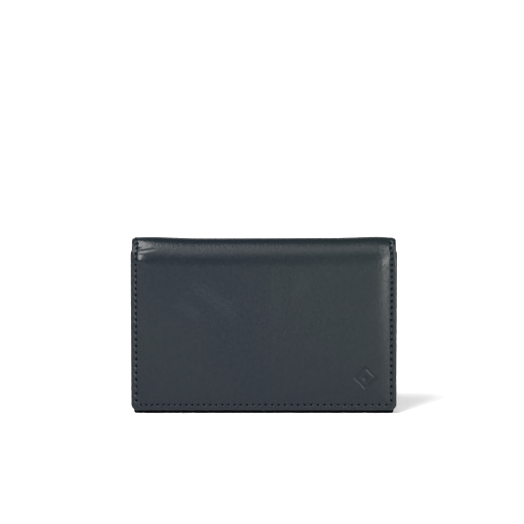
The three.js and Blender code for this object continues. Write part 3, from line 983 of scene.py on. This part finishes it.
def leather_material(name, roughness=(0.26, 0.29), gloss=0.16):
    """Smooth dyed calf: pores, a slight mottle, a painted tint of the light that turns greener to the
    right, dull near-black painted shade in the needle holes and grooves, edge ink, and painted
    highlights along the wrinkles.

    Its grain breaks up where it bends over the fold.
    """
    material, shader, add = new_material(name)
    place = attribute(add, "unrolled", "Vector")
    cavity = attribute(add, "cavity", "Fac")
    across, up = add("ShaderNodeSeparateXYZ", None, Vector=place).outputs[:2]
    dye = noise(add, place, 14.0)
    mottle = noise(add, place, 620.0)
    pores = noise(add, place, 1500.0, detail=1.0)
    # painted tint of the light: greener to the right of the case
    light_tint = remap(add, across, -LIGHT_TINT_REACH, LIGHT_TINT_REACH, -LIGHT_TINT_DRIFT, LIGHT_TINT_DRIFT)
    dye_and_light_tint = remap(add, maths(add, "ADD", dye, light_tint), 0.38, 0.62, 0, 1)
    colour = mixed(add, dye_and_light_tint, LEATHER_BLUE, LEATHER_GREEN)
    colour = mixed(add, remap(add, mottle, 0.35, 0.75, 0, 0.35), colour, LEATHER_WORN)
    # painted highlight along the wrinkles, where the mask is negative
    colour = mixed(add, remap(add, cavity, 0.0, -1.0, 0, 1), colour, LEATHER_WRINKLE_HIGHLIGHT)
    # painted shade in the holes and grooves, and edge ink, where the mask is positive
    painted_shading_and_ink = remap(add, cavity, 0.1, 0.8, 0, 1)
    smooth_face = remap(add, mottle, 0.15, 0.85, roughness[1], roughness[0])
    normal = bump(add, pores, 0.18, 0.00008)
    normal = bump(add, mottle, 0.16, 0.0001, Normal=normal)
    stretched = add("ShaderNodeMapping", None, Vector=place, Scale=(1.5, 0.7, 1)).outputs[0]
    broken = noise(add, stretched, 800.0)
    bending = remap(add, up, *BEND, 0, BEND_GRAIN)
    values = {
        "Base Color": mixed(add, painted_shading_and_ink, colour, LEATHER_SHADE_AND_INK),
        "Roughness": blended(add, painted_shading_and_ink, smooth_face, 0.9),
        "Normal": bump(add, broken, bending, 0.00016, Normal=normal),
        "Specular IOR Level": gloss,
    }
    fill(shader, values)
    return material


def fabric_material(name):
    """A fine twill lining."""
    material, shader, add = new_material(name)
    place = attribute(add, "unrolled", "Vector")
    turned = add("ShaderNodeMapping", None, Vector=place, Rotation=(0, 0, math.radians(27)))
    bands = {"bands_direction": "X"}
    ribs = add("ShaderNodeTexWave", bands, Vector=turned.outputs[0], Scale=520.0).outputs["Fac"]
    tone = remap(add, noise(add, place, 1800.0), 0.3, 0.7, 0, 1)
    values = {
        "Base Color": mixed(add, tone, (0.010, 0.012, 0.017, 1), (0.020, 0.023, 0.031, 1)),
        "Roughness": remap(add, ribs, 0, 1, 0.85, 0.7),
        "Normal": bump(add, ribs, 0.35, 0.00008),
        "Specular IOR Level": 0.15,
        "Sheen Weight": 0.05,
    }
    fill(shader, values)
    return material


def thread_material(name):
    """Navy sewing thread, with painted shade where it goes down into the needle holes."""
    material, shader, add = new_material(name)
    fibre = noise(add, attribute(add, "unrolled", "Vector"), 5200.0, detail=3.0)
    tone = remap(add, fibre, 0.3, 0.7, 0, 1)
    colour = mixed(add, tone, (0.010, 0.012, 0.023, 1), (0.021, 0.024, 0.041, 1))
    painted_shading_and_ink = remap(add, attribute(add, "cavity", "Fac"), 0.0, 0.35, 0, 1)
    values = {
        "Base Color": mixed(add, painted_shading_and_ink, colour, LEATHER_SHADE_AND_INK),
        "Roughness": remap(add, fibre, 0.3, 0.7, 0.5, 0.7),
        "Normal": bump(add, fibre, 0.3, 0.00005),
        "Specular IOR Level": 0.15,
    }
    fill(shader, values)
    return material


def shade_and_ink_material(name):
    """Painted shade in the needle holes, and inked edges whose dark band is partly painted shade."""
    material, shader, add = new_material(name)
    ink = noise(add, attribute(add, "unrolled", "Vector"), 900.0)
    tone = remap(add, ink, 0.3, 0.7, 0, 1)
    values = {
        "Base Color": mixed(add, tone, (0.0010, 0.0012, 0.0022, 1), (0.0022, 0.0026, 0.0042, 1)),
        "Roughness": 0.9,
        "Specular IOR Level": 0.02,
    }
    fill(shader, values)
    return material


def core_material(name, dark, light, scale):
    """Foam or board, which the leather and the lining close in."""
    material, shader, add = new_material(name)
    speckle = noise(add, add("ShaderNodeTexCoord").outputs["Object"], scale, detail=4.0)
    values = {
        "Base Color": mixed(add, remap(add, speckle, 0.35, 0.65, 0, 1), dark, light),
        "Roughness": remap(add, speckle, 0.3, 0.7, 0.8, 0.95),
        "Normal": bump(add, speckle, 0.3, 0.0001),
    }
    fill(shader, values)
    return material


# ---- the case ----

DARK_FROM = 0.55  # mean painted shade and ink of a face


def dress(piece, material, slot, *nodes):
    """Gives a piece its material, with the dull dark one on its faces of painted shade and edge ink.

    Its slot argument is not used. It also hides the CAD nodes that the piece stands for.
    """
    mesh = piece.data
    cavity = np.array([v.value for v in mesh.attributes["cavity"].data])
    is_dark = [cavity[list(face.vertices)].mean() > DARK_FROM for face in mesh.polygons]
    mesh.materials.append(bpy.data.materials[material])
    if any(is_dark):
        mesh.materials.append(bpy.data.materials["dark_hollow"])
        mesh.polygons.foreach_set("material_index", np.array(is_dark, np.int32))
    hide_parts(*nodes)


def over_fold(piece, side):
    """Bakes a piece's transform into its mesh, the same way on either side."""
    if side == FRONT:
        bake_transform(piece)
    else:
        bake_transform(piece)


def make_materials():
    leather_material("navy_calf")
    leather_material("inner_calf", roughness=(0.5, 0.6), gloss=0.06)
    fabric_material("lining_twill")
    thread_material("sewing_thread")
    core_material("foam_sheet", (0.16, 0.16, 0.155, 1), (0.28, 0.28, 0.27, 1), 2500.0)
    core_material("bonded_board", (0.22, 0.18, 0.12, 1), (0.36, 0.30, 0.21, 1), 900.0)
    shade_and_ink_material("dark_hollow")


def build_half(side, panel):
    """The leather, lining, foam and stitches of the flap or the back, and of half the spine."""
    cover = outer_leather(side, f"{panel}_leather")
    dress(cover, "navy_calf", "leather", f"{panel}_cover", "spine_cover")
    lining = lining_sheet(side, f"{panel}_lining_cloth")
    dress(lining, "lining_twill", "lining", f"{panel}_lining", "spine_lining")
    pad = foam_pad(side, f"{panel}_foam")
    dress(pad, "foam_sheet", "padding", f"{panel}_padding")
    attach(pad, panel)
    run = outer_thread(side, f"{panel}_thread")
    spine_runs = ("spine_stitching_left", "spine_stitching_right") if side == FRONT else ()
    dress(run, "sewing_thread", "thread", f"{panel}_stitching", *spine_runs)
    for piece in (cover, lining, run):
        over_fold(piece, side)


def build_flap_slip():
    """The slip pocket inside the flap."""
    stitch_x = HALF_WIDTH - STITCH_INSET
    line = BOTTOM[FRONT] + STITCH_INSET
    leg = (line, LEG_TOP)
    slip = flat_panel("flap_slip", "flap_slip_panel", REAR, SLIP_EDGE, 1.0, stitch_x, (line,), leg)
    dress(slip, "inner_calf", "leather", "flap_slip_panel")
    run = flat_thread("flap_slip_thread", "flap_inner_stitching", REAR)
    dress(run, "sewing_thread", "thread", "flap_inner_stitching")
    for piece in (slip, run):
        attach(piece, "flap")


def build_pocket_wall():
    """The pocket's front wall, with its lining, its slip pocket and both runs of stitches."""
    run_low, run_high = box_mm("wall_stitching")
    top_low, top_high = box_mm("wall_top_stitching")
    wall_x, line = run_high[0] - CAD_THREAD / 2, run_low[2] + CAD_THREAD / 2
    top_line = top_high[2] - CAD_THREAD / 2
    leg = (top_low[2], top_line)
    wall = flat_panel("wall_leather", "wall_cover", FRONT, WALL_EDGE, 0.6, wall_x, (top_line,), leg)
    dress(wall, "inner_calf", "leather", "wall_cover")
    leg = (line, LEG_TOP)
    slip = flat_panel("wall_slip", "wall_slip_panel", FRONT, SLIP_EDGE, 0.5, wall_x, (line,), leg)
    dress(slip, "inner_calf", "leather", "wall_slip_panel")
    cloth = flat_panel("wall_lining_cloth", "wall_lining", REAR, CLOTH_EDGE)
    dress(cloth, "lining_twill", "lining", "wall_lining")
    run = flat_thread("wall_slip_thread", "wall_stitching", FRONT)
    dress(run, "sewing_thread", "thread", "wall_stitching")
    top_run = flat_thread("wall_top_thread", "wall_top_stitching", FRONT, hanging=True)
    dress(top_run, "sewing_thread", "thread", "wall_top_stitching")
    for piece in (wall, slip, cloth, run, top_run):
        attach(piece, "pocket_wall")


def build_pocket_base():
    base = base_strip("base_leather", "pocket_base")
    dress(base, "inner_calf", "leather", "pocket_base")
    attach(base, "back")


def build_gussets():
    """Both gussets, between the back and the pocket's wall."""
    for name, side in (("left_gusset", -1), ("right_gusset", 1)):
        strip = gusset_strip(f"{name}_leather", name, side)
        dress(strip, "inner_calf", "leather", name)
        low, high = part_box(name)
        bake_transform(strip)


def finish_boards():
    """The boards stay as they are, with a material of their own."""
    for name in ("flap_board", "back_board", "wall_board"):
        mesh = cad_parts[name].data
        mesh.materials.clear()
        mesh.materials.append(bpy.data.materials["bonded_board"])


# ---- studio ----

CAMERA_ELEVATION = 5.6  # degrees
CAMERA_LENS = 180.0
SENSOR = 36.0
VIEW_WIDTH = 217.2  # width of the picture at the case
AIM = (-0.75, 0.0, 62.7)  # what the camera looks at
NEAR_GLOW = 0.18  # of the floor beside the case
FRONT_GLOW = 0.02
FAR_GLOW = 1.05
NEAR_Y = (-0.45, -0.1)  # metres, between which the front glow turns into the near one
FAR_FROM = (0.13, 1.0)  # metres to the sides or behind, over which the far glow sets in
FLOOR_REACH = 60.0  # metres
HORIZON_LIGHT = 1.1
SKY_LIGHT = 0.16
SKY_RISE = (0.004, 0.22)  # sines of the heights between which the horizon's light fades


def studio_floor():
    """White paper whose glow grows with the distance, so that it is white around the shadow."""
    mesh = bpy.data.meshes.new("studio_floor")
    corners = [(-1, -1, 0), (1, -1, 0), (1, 1, 0), (-1, 1, 0)]
    mesh.from_pydata([FLOOR_REACH * np.array(corner) for corner in corners], [], [(0, 1, 2, 3)])
    floor = new_object("studio_floor", mesh)
    material, shader, add = new_material("white_paper")
    place = add("ShaderNodeTexCoord").outputs["Object"]
    x, y = add("ShaderNodeSeparateXYZ", None, Vector=place).outputs[:2]
    away = maths(add, "MAXIMUM", maths(add, "ABSOLUTE", x), y)
    near = remap(add, y, *NEAR_Y, FRONT_GLOW, NEAR_GLOW)
    far = remap(add, away, *FAR_FROM, 0, FAR_GLOW)
    values = {
        "Emission Strength": maths(add, "MAXIMUM", near, far),
        "Base Color": (0.92, 0.92, 0.92, 1),
        "Roughness": 0.9,
        "Specular IOR Level": 0.0,
        "Emission Color": (1, 1, 1, 1),
    }
    fill(shader, values)
    mesh.materials.append(material)


def towards(azimuth, elevation):
    """A unit vector from the case. Azimuth 0 is in front of it, and 90 to its right."""
    a, e = math.radians(azimuth), math.radians(elevation)
    return np.array([math.sin(a) * math.cos(e), -math.cos(a) * math.cos(e), math.sin(e)])


def studio_camera():
    data = bpy.data.cameras.new("camera")
    data.sensor_width = SENSOR
    data.lens = CAMERA_LENS
    data.clip_end = 200
    camera = new_object("camera", data)
    distance = VIEW_WIDTH / SENSOR * CAMERA_LENS
    camera.location = (np.array(AIM) + distance * towards(0, CAMERA_ELEVATION)) * MM
    camera.rotation_euler = (math.radians(90 - CAMERA_ELEVATION), 0, 0)
    bpy.context.scene.camera = camera


# Soft boxes: azimuth and elevation in degrees, distance, width and height in metres, and power
SOFT_BOXES = {
    "key": (-36, 45.5, 1.3, 0.66, 0.54, 31.0),
    "overhead": (0, 38, 1.3, 0.9, 0.5, 4.4),
    "side_strip": (27, 28, 1.0, 0.10, 0.52, 5.0),
    "side_card": (27, 3.5, 1.0, 0.10, 0.13, 4.2),
    "rear_fill": (215, 40, 1.2, 0.5, 0.5, 1.4),
}


def soft_box(name, azimuth, elevation, distance, width, height, power):
    data = bpy.data.lights.new(name, "AREA")
    data.shape = "RECTANGLE"
    data.size, data.size_y = width, height
    data.energy = power
    box = new_object(name, data)
    box.visible_camera = False
    box.location = np.array([0, 0, HEIGHT / 2 * MM]) + distance * towards(azimuth, elevation)
    box.rotation_euler = (math.radians(90 - elevation), 0, math.radians(azimuth))


def studio_dome():
    """A white horizon under a dim ceiling. The camera itself sees white all round."""
    world = bpy.data.worlds.new("studio")
    bpy.context.scene.world = world
    world.use_nodes = True
    add = node_adder(world.node_tree)
    direction = add("ShaderNodeTexCoord").outputs["Generated"]
    up = add("ShaderNodeSeparateXYZ", None, Vector=direction).outputs["Z"]
    light = remap(add, up, *SKY_RISE, HORIZON_LIGHT, SKY_LIGHT, "SMOOTHSTEP")
    seen = add("ShaderNodeLightPath").outputs["Is Camera Ray"]
    backdrop = {"Strength": maths(add, "MAXIMUM", light, seen), "Color": (1, 1, 1, 1)}
    fill(world.node_tree.nodes["Background"], backdrop)


make_materials()
build_half(FRONT, "flap")
build_half(REAR, "back")
build_flap_slip()
build_pocket_wall()
build_pocket_base()
build_gussets()
finish_boards()
studio_floor()
studio_camera()
studio_dome()
for name, setting in SOFT_BOXES.items():
    soft_box(name, *setting)
bpy.context.scene.view_settings.view_transform = "Standard"
